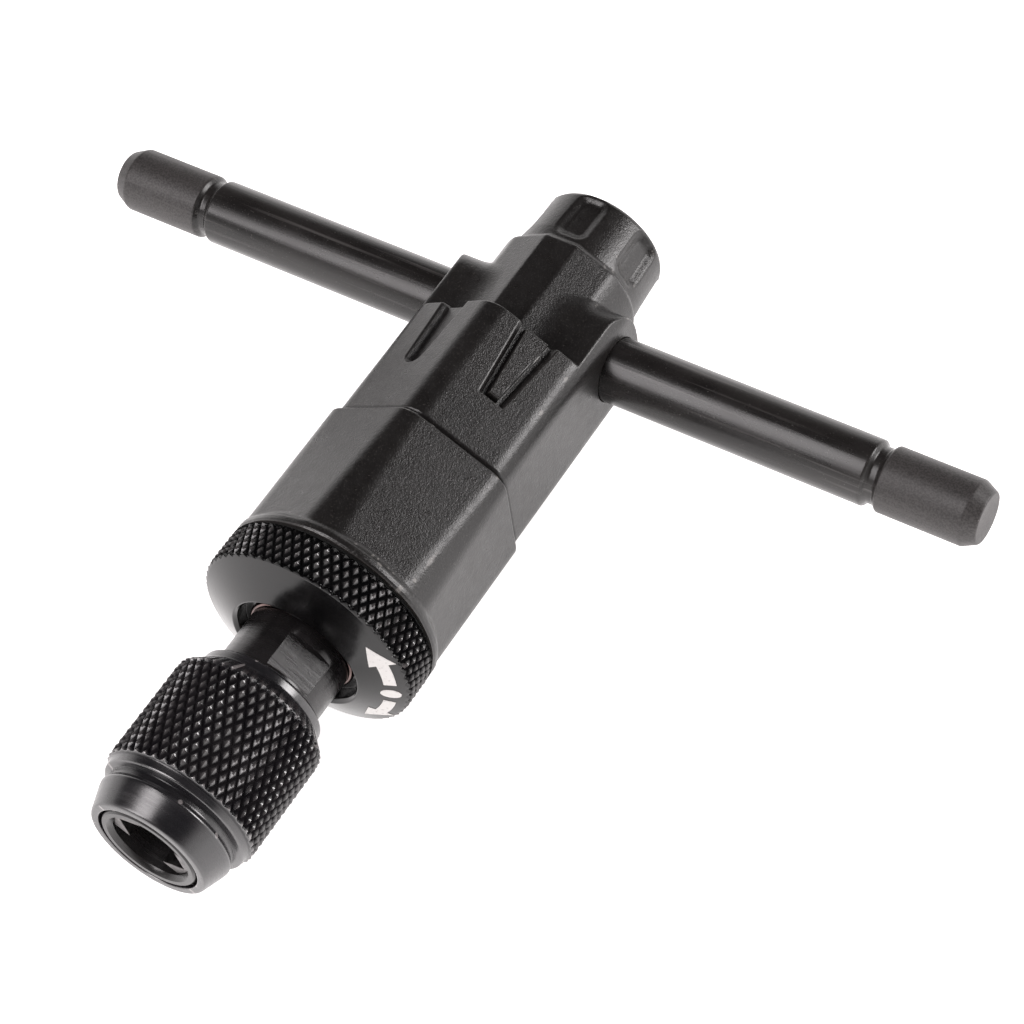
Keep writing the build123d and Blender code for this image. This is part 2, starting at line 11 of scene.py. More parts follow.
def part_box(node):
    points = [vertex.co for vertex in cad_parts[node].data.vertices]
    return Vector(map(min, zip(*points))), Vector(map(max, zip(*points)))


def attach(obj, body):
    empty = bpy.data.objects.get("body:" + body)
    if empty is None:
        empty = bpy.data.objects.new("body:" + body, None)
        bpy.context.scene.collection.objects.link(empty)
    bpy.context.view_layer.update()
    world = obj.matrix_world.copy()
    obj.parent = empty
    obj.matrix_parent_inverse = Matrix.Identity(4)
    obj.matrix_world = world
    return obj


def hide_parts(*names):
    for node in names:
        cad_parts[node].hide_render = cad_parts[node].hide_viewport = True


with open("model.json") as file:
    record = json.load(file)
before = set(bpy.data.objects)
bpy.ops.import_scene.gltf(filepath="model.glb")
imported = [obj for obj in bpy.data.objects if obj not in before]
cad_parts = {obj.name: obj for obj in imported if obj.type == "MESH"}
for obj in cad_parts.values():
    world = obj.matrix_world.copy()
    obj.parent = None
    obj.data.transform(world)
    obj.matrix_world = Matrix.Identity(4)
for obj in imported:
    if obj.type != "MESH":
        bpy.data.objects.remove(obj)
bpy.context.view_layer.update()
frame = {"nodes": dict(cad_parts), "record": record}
MM = 0.001

# camera: direction that it looks along, its side direction, distance and lens
AIM = Vector((9.93, 7.04, 11.9)) * MM
LOOK = Vector((-0.38212, 0.47241, -0.79424))
SIDE = Vector((0.84945, 0.51799, -0.10059))
CAMERA_DISTANCE = 0.3002
LENS_MM = 106.45
SENSOR_MM = 36.0

# knurls: diamonds round the part, length of one diamond, groove depth
SLEEVE_DIAMONDS = 46
SLEEVE_DIAMOND_LENGTH = 1.95 * MM
RING_DIAMONDS = 66
RING_DIAMOND_LENGTH = 1.75 * MM
GROOVE_DEPTH = 0.42 * MM
STEPS_PER_DIAMOND = 8
WORN_TIP = 0.12
SLEEVE_BEVEL = 0.12 * MM
RING_BEVEL = 0.1 * MM
SHARP_TURN = math.radians(32)

# tommy bar, in mm
BAR_CHAMFER_LENGTH = 1.5
BAR_CHAMFER_DEPTH = 0.75
BAR_GROOVE_X = 40.3
BAR_GROOVE_HALF_TOP = 0.85
BAR_GROOVE_HALF_FLOOR = 0.4
BAR_GROOVE_DEPTH = 0.5
BAR_SEGMENTS = 144
BAR_HOLE_RADIUS = 3.6

BAR_END_START = 41.0 * MM
BAR_FACE_START = 51.7 * MM

# housing, in mm: S is the distance in front of the tommy bar's middle, R a radius, and FLAT the distance
# of a flat from the axis. FAR_OFF is a radius outside every surface.
HOUSING_SEGMENTS = 720
FAR_OFF = 99.0
S_CAP = -14.5
S_CAP_SEAT = -10.5
S_SHOULDER = 5.3
S_REAR_BORE = 12.2
S_STEP = 21.2
S_CHAMBER = 26.0
S_SKIRT = 37.2
S_RIM = 38.0
CAP_R = 7.4
NECK_R = 8.0
NECK_FLAT = 7.65
NECK_BEVEL = 7.8
UPPER_R = 11.0
UPPER_FLAT = 9.95
LOWER_R = 11.6
LOWER_FLAT_REAR = 10.45
LOWER_FLAT_GAIN = 0.35
LOWER_FLAT_LENGTH = 15.6
SKIRT_R = 11.7
EAR_HALF_HEIGHT = 6.0
EAR_LENGTH = 4.5
EAR_ROUNDNESS = 2.4
PLUG_BORE_R = 1.95
PLUG_SEAT_R = 3.2
REAR_BORE_R = 4.6
CHAMBER_R = 8.6

# recesses and flutes pressed into the housing, in mm
RECESS_DEPTH = 0.8
RECESS_START = 5.1
RECESS_END = 14.75
BLOCK_END = 14.2
SLOT_CENTRE = 13.1
FLUTE_HALF_WIDTH = 2.15
FLUTE_HALF_LENGTH = 3.3
FLUTE_MIDDLE = -11.3
FLUTE_CORNER = 1.6
FLUTE_DEPTH = 0.6
FLUTE_SLOPE = 1.2


# ---------------------------------------------------------------- materials


class Shade:
    """One material, with the few node patterns that every piece here uses."""

    def __init__(self, name):
        self.material = bpy.data.materials.new(name)
        self.material.use_nodes = True
        self.tree = self.material.node_tree
        self.shader = self.tree.nodes["Principled BSDF"]
        self.place = self.tree.nodes.new("ShaderNodeTexCoord")

    def link(self, source, target):
        self.tree.links.new(source, target)

    def noise(self, scale, detail=3.0, stretch=(1, 1, 1), roughness=0.55):
        mapping = self.tree.nodes.new("ShaderNodeMapping")
        mapping.inputs["Scale"].default_value = stretch
        self.link(self.place.outputs["Object"], mapping.inputs["Vector"])
        pattern = self.tree.nodes.new("ShaderNodeTexNoise")
        pattern.inputs["Scale"].default_value = scale
        pattern.inputs["Detail"].default_value = detail
        pattern.inputs["Roughness"].default_value = roughness
        self.link(mapping.outputs["Vector"], pattern.inputs["Vector"])
        return pattern.outputs["Fac"]

    def spread(self, value, low, high, out_low=0.0, out_high=1.0):
        node = self.tree.nodes.new("ShaderNodeMapRange")
        limits = {"From Min": low, "From Max": high, "To Min": out_low, "To Max": out_high}
        for name, number in limits.items():
            node.inputs[name].default_value = number
        self.link(value, node.inputs["Value"])
        return node.outputs["Result"]

    def mix(self, share, first, second):
        node = self.tree.nodes.new("ShaderNodeMix")
        node.data_type = "RGBA"
        self.link(share, node.inputs["Factor"])
        for socket, colour in ((node.inputs["A"], first), (node.inputs["B"], second)):
            if isinstance(colour, tuple):
                socket.default_value = (*colour, 1.0)
            else:
                self.link(colour, socket)
        return node.outputs["Result"]

    def math(self, kind, first, second):
        node = self.tree.nodes.new("ShaderNodeMath")
        node.operation = kind
        for socket, value in zip(node.inputs, (first, second)):
            if isinstance(value, float):
                socket.default_value = value
            else:
                self.link(value, socket)
        return node.outputs["Value"]

    def beyond_x(self, near, far):
        """1 where the piece's own X is further out than a distance, to both sides."""
        split = self.tree.nodes.new("ShaderNodeSeparateXYZ")
        self.link(self.place.outputs["Object"], split.inputs["Vector"])
        return self.spread(self.math("ABSOLUTE", split.outputs["X"], 0.0), near, far)

    def edges(self, low=0.52, high=0.62):
        """1 on sharp outward edges, 0 elsewhere."""
        geometry = self.tree.nodes.new("ShaderNodeNewGeometry")
        return self.spread(geometry.outputs["Pointiness"], low, high)

    def bump(self, height, strength, distance, previous=None):
        node = self.tree.nodes.new("ShaderNodeBump")
        node.inputs["Strength"].default_value = strength
        node.inputs["Distance"].default_value = distance
        self.link(height, node.inputs["Height"])
        if previous is not None:
            self.link(previous, node.inputs["Normal"])
        return node.outputs["Normal"]

    def finish(self, colour, roughness, normal=None, metallic=0.0, ior=1.5):
        self.link(colour, self.shader.inputs["Base Color"])
        self.link(roughness, self.shader.inputs["Roughness"])
        if normal is not None:
            self.link(normal, self.shader.inputs["Normal"])
        self.shader.inputs["Metallic"].default_value = metallic
        self.shader.inputs["IOR"].default_value = ior
        return self.material


def cast_paint():
    """Fine-textured black finish on the die-cast body."""
    s = Shade("cast_body")
    cloud = s.noise(120.0, 4.0)
    grain = s.noise(6500.0, 2.0)
    colour = s.mix(s.spread(cloud, 0.35, 0.65), (0.0078, 0.007, 0.0068), (0.0135, 0.0122, 0.0118))
    colour = s.mix(s.spread(grain, 0.60, 0.74), colour, (0.055, 0.051, 0.048))
    # Sharp outward edges are painted lighter: a painted highlight along the ridge lines and lips.
    colour = s.mix(s.edges(0.53, 0.66), colour, (0.15, 0.14, 0.133))
    s.link(s.spread(s.edges(0.44, 0.497), 0.0, 1.0, 0.08, 0.5), s.shader.inputs["Specular IOR Level"])
    roughness = s.spread(s.noise(900.0, 3.0), 0.3, 0.7, 0.27, 0.36)
    normal = s.bump(grain, 0.65, 0.00004, s.bump(s.noise(2600.0, 3.0), 0.3, 0.00008))
    return s.finish(colour, roughness, normal, ior=1.58)


def drawn_steel():
    """Black-oxide bar, with drawing marks along X and rubbed streaks."""
    s = Shade("black_oxide_steel")
    marks = s.noise(1900.0, 4.0, (0.02, 1, 1))
    blotch = s.noise(260.0, 5.0, (0.35, 1, 1))
    grain = s.noise(5200.0, 3.0)
    colour = s.mix(s.spread(blotch, 0.4, 0.65), (0.011, 0.0098, 0.0095), (0.022, 0.0198, 0.019))
    colour = s.mix(s.spread(marks, 0.58, 0.74), colour, (0.085, 0.08, 0.078))
    colour = s.mix(s.spread(grain, 0.64, 0.74), colour, (0.09, 0.085, 0.082))
    handled = s.beyond_x(BAR_END_START, BAR_END_START + 0.3 * MM)
    dull = s.math("MULTIPLY", handled, s.spread(grain, 0.40, 0.60, 0.35, 1.0))
    colour = s.mix(dull, colour, (0.062, 0.057, 0.056))
    end_face = s.beyond_x(BAR_FACE_START, BAR_FACE_START + 0.05 * MM)
    colour = s.mix(s.math("SUBTRACT", s.edges(0.525, 0.57), end_face), colour, (0.42, 0.40, 0.39))
    roughness = s.math("ADD", s.spread(blotch, 0.3, 0.7, 0.22, 0.32), s.math("MULTIPLY", handled, 0.2))
    normal = s.bump(marks, 0.5, 0.00003, s.bump(grain, 0.15, 0.00002))
    return s.finish(colour, roughness, normal, metallic=0.0, ior=1.5)


def turned_steel(name, dark, light, worn, rough, metallic, ior=1.55, marks=0.18):
    """Blackened steel turned about the spindle axis, so its marks run round."""
    s = Shade(name)
    rings = s.noise(2600.0, 3.0, (0.06, 1, 0.06))
    blotch = s.noise(300.0, 4.0)
    colour = s.mix(s.spread(blotch, 0.38, 0.66), dark, light)
    if worn:
        colour = s.mix(s.edges(0.53, 0.60), colour, worn)
        s.link(s.edges(0.44, 0.53), s.shader.inputs["Specular IOR Level"])
    uneven = s.math("ADD", blotch, s.spread(rings, 0.3, 0.7, -0.2, 0.2))
    roughness = s.spread(uneven, 0.2, 0.8, rough[0], rough[1])
    normal = s.bump(rings, marks, 0.00003)
    return s.finish(colour, roughness, normal, metallic=metallic, ior=ior)


def knurled_steel(name, dark, light, rough, ior):
    """Blackened knurl: dull in the grooves, with the diamonds' tips painted lighter as rubbed wear and as a
    painted glint.
    """
    s = Shade(name)
    blotch = s.noise(420.0, 4.0)
    fine = s.noise(3800.0, 3.0)
    colour = s.mix(s.spread(blotch, 0.38, 0.66), dark, light)
    # The diamonds' tips are painted lighter: partly rubbed wear, partly a painted glint.
    colour = s.mix(s.edges(0.54, 0.66), colour, (0.2, 0.185, 0.185))
    s.link(s.edges(0.49, 0.68), s.shader.inputs["Specular IOR Level"])
    roughness = s.spread(fine, 0.3, 0.7, rough[0], rough[1])
    return s.finish(colour, roughness, s.bump(fine, 0.2, 0.00002), ior=ior)


def plain_metal(name, dark, light, rough, scale=900.0):
    s = Shade(name)
    blotch = s.noise(scale, 4.0)
    colour = s.mix(s.spread(blotch, 0.35, 0.65), dark, light)
    roughness = s.spread(s.noise(scale * 2.3, 3.0), 0.3, 0.7, rough[0], rough[1])
    normal = s.bump(s.noise(scale * 4.0, 2.0), 0.15, 0.00002)
    return s.finish(colour, roughness, normal, metallic=1.0)


def print_white():
    s = Shade("white_print")
    wear = s.noise(2400.0, 5.0)
    colour = s.mix(s.spread(wear, 0.60, 0.72), (0.80, 0.78, 0.76), (0.52, 0.50, 0.49))
    roughness = s.spread(wear, 0.3, 0.7, 0.45, 0.6)
    return s.finish(colour, roughness, s.bump(wear, 0.2, 0.00002))


def rubber():
    s = Shade("black_rubber")
    dust = s.noise(1500.0, 4.0)
    colour = s.mix(s.spread(dust, 0.5, 0.75), (0.008, 0.008, 0.008), (0.03, 0.03, 0.03))
    return s.finish(colour, s.spread(dust, 0.3, 0.7, 0.6, 0.8), s.bump(dust, 0.2, 0.00003))


MATERIALS = {
    "cast_body": cast_paint(),
    "black_oxide_steel": drawn_steel(),
    "dark_steel": turned_steel(
        "dark_steel", (0.010, 0.0092, 0.0095), (0.02, 0.018, 0.0185), None, (0.2, 0.34), 0.05, marks=0.5
    ),
    "blackened_steel": turned_steel(
        "blackened_steel", (0.011, 0.0105, 0.0125), (0.022, 0.020, 0.0225), (0.24, 0.22, 0.22), (0.2, 0.32),
        0.1, 1.7
    ),
    "black_ring": turned_steel(
        "black_ring", (0.0015, 0.0015, 0.0018), (0.0035, 0.0032, 0.0034), None, (0.12, 0.2), 0.0, 1.5
    ),
    "blackened_knurl": knurled_steel(
        "blackened_knurl", (0.010, 0.009, 0.0105), (0.02, 0.018, 0.0195), (0.14, 0.26), 1.9
    ),
    "black_ring_knurl": knurled_steel(
        "black_ring_knurl", (0.004, 0.004, 0.0045), (0.009, 0.0085, 0.009), (0.14, 0.26), 1.8
    ),
    "white_print": print_white(),
    "copper_wire": plain_metal("copper_wire", (0.10, 0.066, 0.062), (0.2, 0.135, 0.125), (0.12, 0.22)),
    "hard_steel": plain_metal("hard_steel", (0.10, 0.095, 0.095), (0.2, 0.19, 0.19), (0.25, 0.4)),
    "bronze": plain_metal("bronze", (0.5, 0.35, 0.18), (0.66, 0.48, 0.26), (0.3, 0.45)),
    "spring_steel": plain_metal("spring_steel", (0.42, 0.42, 0.43), (0.6, 0.6, 0.62), (0.15, 0.3)),
    "black_rubber": rubber(),
}


def dress(piece, slot_name, knurl_name=None):
    """Give a piece its material, and a second one for the faces that a knurled mesh marks."""
    materials = piece.data.materials
    if len(materials):
        materials.clear()
    materials.append(MATERIALS[slot_name])
    if knurl_name:
        materials.append(MATERIALS[knurl_name])


# ---------------------------------------------------------------- turned pieces with knurls


def knurl_height(u, v):
    """0 in the grooves and 1 on the diamonds' tips, u and v counted in diamonds."""
    p, q = (u + v) % 1.0, (u - v) % 1.0
    height = 2.0 * min(p, 1.0 - p, q, 1.0 - q)
    return min(1.0, height / (1.0 - WORN_TIP))


def rounded(profile, size):
    """A (distance, radius) outline with soft bevels at its corners, held by close rings.

    An outline that starts off the axis is closed; one that starts on it ends there too.
    """
    count, closed = len(profile), profile[0][1] > 0
    soft = []
    for i in range(count):
        before, here, after = (Vector(profile[j % count]) for j in (i - 1, i, i + 1))
        if not closed and i in (0, count - 1):
            soft.append(here)
            continue
        reach = [min(size, 0.3 * (near - here).length) for near in (before, after)]
        ends = [here + (near - here).normalized() * r for near, r in zip((before, after), reach)]
        hold = [here + (near - here).normalized() * 1.6 * r for near, r in zip((before, after), reach)]
        middle = ((ends[0] + ends[1]) / 2).lerp(here, 0.4)
        soft += [hold[0], ends[0], middle, ends[1], hold[1]]
    return [tuple(point) for point in soft]


def turned_mesh(name, profile, axis_x, axis_z, front_y, segments, knurl=None):
    """Revolve an outline of (distance behind the front, radius) about a line along Y.

    knurl is (start, end, radius, diamonds round, diamond length). Its faces get material index 1.
    """
    rings = []
    for i, (back, radius) in enumerate(profile):
        rings.append((back, radius, False))
        following = profile[(i + 1) % len(profile)]
        if knurl and knurl_side(profile, i, knurl):
            rings += knurl_rows(radius, back, following, knurl)
    vertices, faces = [], []
    for back, radius, cut in rings:
        for k in range(segments):
            r = radius
            if knurl and (cut or in_knurl(back, radius, knurl)):
                u = k * knurl[3] / segments
                groove = knurl[2] - GROOVE_DEPTH * (1.0 - knurl_height(u, (back - knurl[0]) / knurl[4]))
                r = min(radius, groove)
            angle = math.tau * k / segments
            vertices.append((axis_x + r * math.cos(angle), front_y + back, axis_z + r * math.sin(angle)))
    count = len(rings)
    knurled = []
    for i in range(count if profile[0][1] > 0 else count - 1):
        j = (i + 1) % count
        for k in range(segments):
            a, b = i * segments + k, i * segments + (k + 1) % segments
            c, d = j * segments + (k + 1) % segments, j * segments + k
            if knurl and (rings[i][2] or rings[j][2]):
                u = (k + 0.5) * knurl[3] / segments
                v = ((rings[i][0] + rings[j][0]) / 2 - knurl[0]) / knurl[4]
                falling = (math.floor(2 * u) + math.floor(2 * v)) % 2 == 0
                forward = rings[j][0] > rings[i][0]
                if falling == forward:
                    faces += [(a, b, c), (a, c, d)]
                else:
                    faces += [(a, b, d), (b, c, d)]
                knurled += [1, 1]
            else:
                faces.append((a, b, c, d))
                knurled.append(0)
    mesh = bpy.data.meshes.new(name)
    mesh.from_pydata(vertices, [], faces)
    mesh.polygons.foreach_set("material_index", knurled)
    piece = bpy.data.objects.new(name, mesh)
    bpy.context.scene.collection.objects.link(piece)
    outward(mesh)
    mesh.shade_smooth()
    mesh.set_sharp_from_angle(angle=SHARP_TURN)
    return piece


def outward(mesh):
    """Join the points that meet on the axis and turn every face out of the solid."""
    work = bmesh.new()
    work.from_mesh(mesh)
    bmesh.ops.remove_doubles(work, verts=work.verts, dist=1e-8)
    bmesh.ops.recalc_face_normals(work, faces=work.faces)
    work.to_mesh(mesh)
    work.free()


def in_knurl(back, radius, knurl):
    return knurl[0] <= back <= knurl[1] and radius > knurl[2] - GROOVE_DEPTH - 1e-6


def knurl_side(profile, i, knurl):
    """Whether the outline's i-th edge lies on the knurled outside."""
    here, following = profile[i], profile[(i + 1) % len(profile)]
    middle = (here[0] + following[0]) / 2
    on_outside = max(here[1], following[1]) > knurl[2] - GROOVE_DEPTH
    return on_outside and knurl[0] - 1e-6 <= middle <= knurl[1] + 1e-6


def knurl_rows(radius, back, following, knurl):
    """Extra rings between two outline points, one for each step of a diamond."""
    step = knurl[4] / STEPS_PER_DIAMOND
    length = following[0] - back
    low, high = sorted((back, following[0]))
    first = math.ceil((low - knurl[0]) / step + 0.2)
    rows = []
    while knurl[0] + first * step < high - 0.2 * step:
        at = knurl[0] + first * step
        share = (at - back) / length
        rows.append((at, radius + (following[1] - radius) * share, True))
        first += 1
    return rows if length > 0 else rows[::-1]


def axis_of(node):
    low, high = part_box(node)
    return (low.x + high.x) / 2, (low.z + high.z) / 2


def chuck_sleeve():
    """Long knurled sleeve with a plain collar behind and a grooved, tapered nose."""
    low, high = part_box("chuck_sleeve")
    axis_x, axis_z = axis_of("chuck_sleeve")
    radius = (high.x - low.x) / 2
    outline = [
        (0.0, 5.55), (0.0, 6.3), (0.15, 6.45), (2.5, 7.25), (2.9, 7.35), (3.3, 7.05), (4.0, 7.05), (4.2, 7.8),
        (5.1, 7.9), (5.3, 8.3), (16.7, 8.3), (18.2, 6.8), (19.2, 6.65), (19.5, 6.2), (19.5, 5.65),
        (13.5, 5.65), (13.5, 7.1), (12.5, 7.1), (12.5, 6.9), (7.5, 6.9), (5.1, 5.55),
    ]
    outline = [(back * MM, r * MM) for back, r in outline]
    knurl = (5.2 * MM, 17.1 * MM, radius, SLEEVE_DIAMONDS, SLEEVE_DIAMOND_LENGTH)
    segments = SLEEVE_DIAMONDS * STEPS_PER_DIAMOND
    outline = rounded(outline, SLEEVE_BEVEL)
    piece = turned_mesh("chuck_sleeve_knurled", outline, axis_x, axis_z, low.y, segments, knurl)
    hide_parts("chuck_sleeve")
    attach(piece, "sleeve")
    dress(piece, "blackened_steel", "blackened_knurl")


def selector_ring():
    """Knurled selector ring with a smooth sloping face."""
    low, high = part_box("selector_ring")
    axis_x, axis_z = axis_of("selector_ring")
    radius = (high.x - low.x) / 2
    outline = [
        (0.0, 7.2), (1.9, 11.55), (2.2, 11.9), (6.1, 11.9), (6.2, 11.75), (6.2, 6.75), (2.5, 6.75),
        (2.5, 5.75), (1.7, 5.75), (1.7, 6.85), (0.35, 6.85),
    ]
    outline = [(back * MM, r * MM) for back, r in outline]
    knurl = (1.95 * MM, 6.15 * MM, radius, RING_DIAMONDS, RING_DIAMOND_LENGTH)
    segments = RING_DIAMONDS * STEPS_PER_DIAMOND
    outline = rounded(outline, RING_BEVEL)
    piece = turned_mesh("selector_ring_knurled", outline, axis_x, axis_z, low.y, segments, knurl)
    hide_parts("selector_ring")
    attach(piece, "selector")
    dress(piece, "black_ring", "black_ring_knurl")


def tommy_bar():
    """Round bar with chamfered ends and a narrow groove near each end."""
    low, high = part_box("tommy_bar")
    length, radius = (high.x - low.x) / MM, (high.z - low.z) / 2 / MM
    groove = length / 2 - BAR_GROOVE_X
    floor_radius = radius - BAR_GROOVE_DEPTH
    half = [
        (0.0, 0.0), (0.0, radius - BAR_CHAMFER_DEPTH), (BAR_CHAMFER_LENGTH, radius),
        (groove - BAR_GROOVE_HALF_TOP, radius), (groove - BAR_GROOVE_HALF_FLOOR, floor_radius),
        (groove + BAR_GROOVE_HALF_FLOOR, floor_radius), (groove + BAR_GROOVE_HALF_TOP, radius),
    ]
    outline = half + [(length - x, r) for x, r in reversed(half)]
    outline = [(x * MM, r * MM) for x, r in rounded(outline, 0.12)]
    piece = turned_mesh("tommy_bar_turned", outline, 0.0, 0.0, 0.0, BAR_SEGMENTS)
    middle_y, middle_z = (low.y + high.y) / 2, (low.z + high.z) / 2
    along_x = Matrix(((0, 1, 0, low.x), (1, 0, 0, middle_y), (0, 0, 1, middle_z), (0, 0, 0, 1)))
    piece.data.transform(along_x)
    outward(piece.data)
    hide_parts("tommy_bar")
    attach(piece, "bar")
    dress(piece, "black_oxide_steel")


# ---------------------------------------------------------------- die-cast housing


def smooth_min(a, b, blend):
    share = np.clip(0.5 + 0.5 * (b - a) / blend, 0.0, 1.0)
    return b * (1 - share) + a * share - blend * share * (1 - share)


def smooth_max(a, b, blend):
    return -smooth_min(-a, -b, blend)


def fall(past, slope, blend=0.25):
    """0 before an edge and a steady drop past it, with a soft corner."""
    return slope * smooth_max(past, 0.0 * past, blend)


def step_up(distance, width):
    share = np.clip(distance / width, 0.0, 1.0)
    return share * share * (3 - 2 * share)


def from_flat(degrees):
    """Angle from the middle of the nearest of the six flats."""
    return np.radians((degrees + 30.0) % 60.0 - 30.0)


def six_flats(degrees, apothem, radius, blend=0.3):
    return smooth_min(apothem / np.cos(from_flat(degrees)), radius + 0.0 * degrees, blend)


def across_flat(degrees, middle, apothem):
    """Distance sideways on one flat, very large away from it."""
    turn = (degrees - middle + 180.0) % 360.0 - 180.0
    near = np.abs(turn) < 30.0
    return np.where(near, apothem * np.tan(np.radians(np.where(near, turn, 0.0))), FAR_OFF)


def wedge_half(s):
    return 2.45 - 1.0 * (s - RECESS_START) / 9.65


def block_half(s):
    return 1.55 - 0.85 * (s - RECESS_START) / 9.1


def slot_half(s):
    return 2.0 - 0.75 * (s - RECESS_START) / 8.0


def wedge_recess(degrees, s):
    """Depth of the tapering recess with its raised block, on two opposite flats."""
    depth = 0.0 * degrees
    for middle in (60.0, 240.0):
        t = np.abs(across_flat(degrees, middle, UPPER_FLAT))
        outer = np.minimum(wedge_half(s) - t, RECESS_END - s)
        inner = np.minimum(np.minimum(block_half(s) - t, BLOCK_END - s), s - 5.5)
        depth = depth + RECESS_DEPTH * step_up(outer, 0.3) - RECESS_DEPTH * step_up(inner + 0.05, 0.25)
    return np.maximum(depth, 0.0)


def slot_recess(degrees, s):
    """Depth of the round-ended recess on two more flats."""
    depth = 0.0 * degrees
    for middle in (120.0, 300.0):
        t = across_flat(degrees, middle, UPPER_FLAT)
        end = slot_half(SLOT_CENTRE) - np.hypot(t, s - SLOT_CENTRE)
        inside = np.where(s < SLOT_CENTRE, slot_half(s) - np.abs(t), end)
        depth = depth + RECESS_DEPTH * step_up(inside, 0.4)
    return depth


def column_angles(s):
    """Angles of the mesh columns at one station, shifted so that columns follow the recess walls."""
    degrees = np.arange(HOUSING_SEGMENTS) * 360.0 / HOUSING_SEGMENTS
    along = min(max(s, RECESS_START), RECESS_END)
    wedge, slot = (block_half, wedge_half), (slot_half,)
    for middle, walls in ((60, wedge), (120, slot), (240, wedge), (300, slot)):
        home = [math.degrees(math.atan(wall(RECESS_START) / UPPER_FLAT)) for wall in walls]
        here = [math.degrees(math.atan(wall(along) / UPPER_FLAT)) for wall in walls]
        turn = (degrees - middle + 180.0) % 360.0 - 180.0
        moved = np.sign(turn) * np.interp(np.abs(turn), [0.0, *home, 30.0], [0.0, *here, 30.0])
        degrees = np.where(np.abs(turn) < 30.0, middle + moved, degrees)
    return degrees


def cap_flutes(degrees, s):
    """Depth of the six rounded finger flutes round the cap end."""
    turn = np.radians(degrees % 60.0 - 30.0)
    side = np.abs(7.3 * turn) - (FLUTE_HALF_WIDTH - FLUTE_CORNER)
    end = np.abs(s - FLUTE_MIDDLE) - (FLUTE_HALF_LENGTH - FLUTE_CORNER)
    outside = np.hypot(np.maximum(side, 0.0), np.maximum(end, 0.0)) + np.minimum(np.maximum(side, end), 0.0)
    return FLUTE_DEPTH * step_up(FLUTE_CORNER - outside, FLUTE_SLOPE)


def neck_radius(degrees, s):
    """Round neck with four flats and a narrow bevel above and below."""
    at_side = np.abs((degrees + 30.0) % 180.0 - 30.0) < 30.0
    flats = np.where(at_side, FAR_OFF, NECK_FLAT / np.cos(from_flat(degrees)))
    tilt = np.clip(degrees % 180.0 - 90.0, -30.0, 30.0)
    bevel = np.where(np.abs(tilt) < 30.0, NECK_BEVEL / np.cos(np.radians(tilt)), FAR_OFF)
    return smooth_min(smooth_min(flats, bevel, 0.05), NECK_R + 0.0 * s, 0.12)


def housing_radius(degrees, s):
    """Outer radius of the housing at an angle and a station, in mm."""
    upper = six_flats(degrees, UPPER_FLAT, UPPER_R)
    lower_flat = LOWER_FLAT_REAR + LOWER_FLAT_GAIN * (s - S_STEP) / LOWER_FLAT_LENGTH
    lower = six_flats(degrees, lower_flat, LOWER_R)
    cap = CAP_R - 0.055 * np.maximum(-9.0 - s, 0.0) - cap_flutes(degrees, s)
    ear_end = (1.0 - np.clip(-s / EAR_LENGTH, 0.0, 1.0) ** EAR_ROUNDNESS) ** (1 / EAR_ROUNDNESS)
    upright = np.maximum(np.abs(np.sin(np.radians(degrees))), 1e-3)
    ear = smooth_min(upper, EAR_HALF_HEIGHT * ear_end / upright, 0.4)
    radius = smooth_max(neck_radius(degrees, s) - fall(-7.2 - s, 1.2), cap - fall(s + 6.6, 0.8), 0.3)
    radius = smooth_max(radius, ear, 1.2)
    body = upper - fall(S_SHOULDER - s, 4.0) - wedge_recess(degrees, s) - slot_recess(degrees, s)
    radius = np.maximum(radius, body)
    step_groove = 0.25 * np.exp(-(((s - S_STEP + 0.35) / 0.18) ** 2))
    radius = smooth_max(radius, lower - fall(S_STEP - s, 2.5), 0.1) - step_groove
    radius = smooth_max(radius, SKIRT_R - fall(S_SKIRT - s, 1.2), 0.6)
    return radius - 0.15 * step_up(s - 37.8, 0.2) - 0.35 * step_up(-14.05 - s, 0.9)


def housing_stations():
    """Rows along the housing, closer together where its shape turns quickly."""
    runs = (
        (S_CAP, -13.7, 0.1), (-13.7, -9.6, 0.35), (-9.6, -6.0, 0.15), (-6.0, -4.8, 0.2), (-4.8, -2.6, 0.08),
        (-2.6, 4.2, 0.25), (4.2, 6.0, 0.07), (6.0, 13.0, 0.2), (13.0, 15.0, 0.07), (15.0, 20.4, 0.6),
        (20.4, 21.7, 0.07), (21.7, 35.5, 0.8), (35.5, S_RIM, 0.1),
    )
    stations = []
    for start, end, step in runs:
        count = round((end - start) / step)
        stations += [start + (end - start) * i / count for i in range(count)]
    return stations + [S_RIM]


def housing_mesh(name, bar_y, axis_z):
    """Outer skin from the radius above, closed by the plug seat and the ratchet chamber."""
    stations = housing_stations()
    rows = [(0.0, PLUG_BORE_R), (S_CAP_SEAT, PLUG_BORE_R), (S_CAP_SEAT, PLUG_SEAT_R), (S_CAP, PLUG_SEAT_R)]
    rows += [(s, housing_radius(column_angles(s), np.full(HOUSING_SEGMENTS, s))) for s in stations]
    rows += [(S_RIM, CHAMBER_R), (S_CHAMBER, CHAMBER_R), (S_CHAMBER, REAR_BORE_R), (S_REAR_BORE, REAR_BORE_R)]
    points = [(0.0, bar_y, axis_z), (0.0, bar_y - S_REAR_BORE * MM, axis_z)]
    for s, radius in rows:
        turn = np.radians(column_angles(s))
        x, z = radius * np.cos(turn) * MM, axis_z + radius * np.sin(turn) * MM
        points += [(float(a), bar_y - s * MM, float(b)) for a, b in zip(x, z)]
    faces, count, last = [], HOUSING_SEGMENTS, 2 + (len(rows) - 1) * HOUSING_SEGMENTS
    for k in range(count):
        n = (k + 1) % count
        faces += [(0, 2 + n, 2 + k), (1, last + k, last + n)]
        for i in range(len(rows) - 1):
            a, b = 2 + i * count, 2 + (i + 1) * count
            faces.append((a + k, a + n, b + n, b + k))
    mesh = bpy.data.meshes.new(name)
    mesh.from_pydata(points, [], faces)
    outward(mesh)
    return mesh


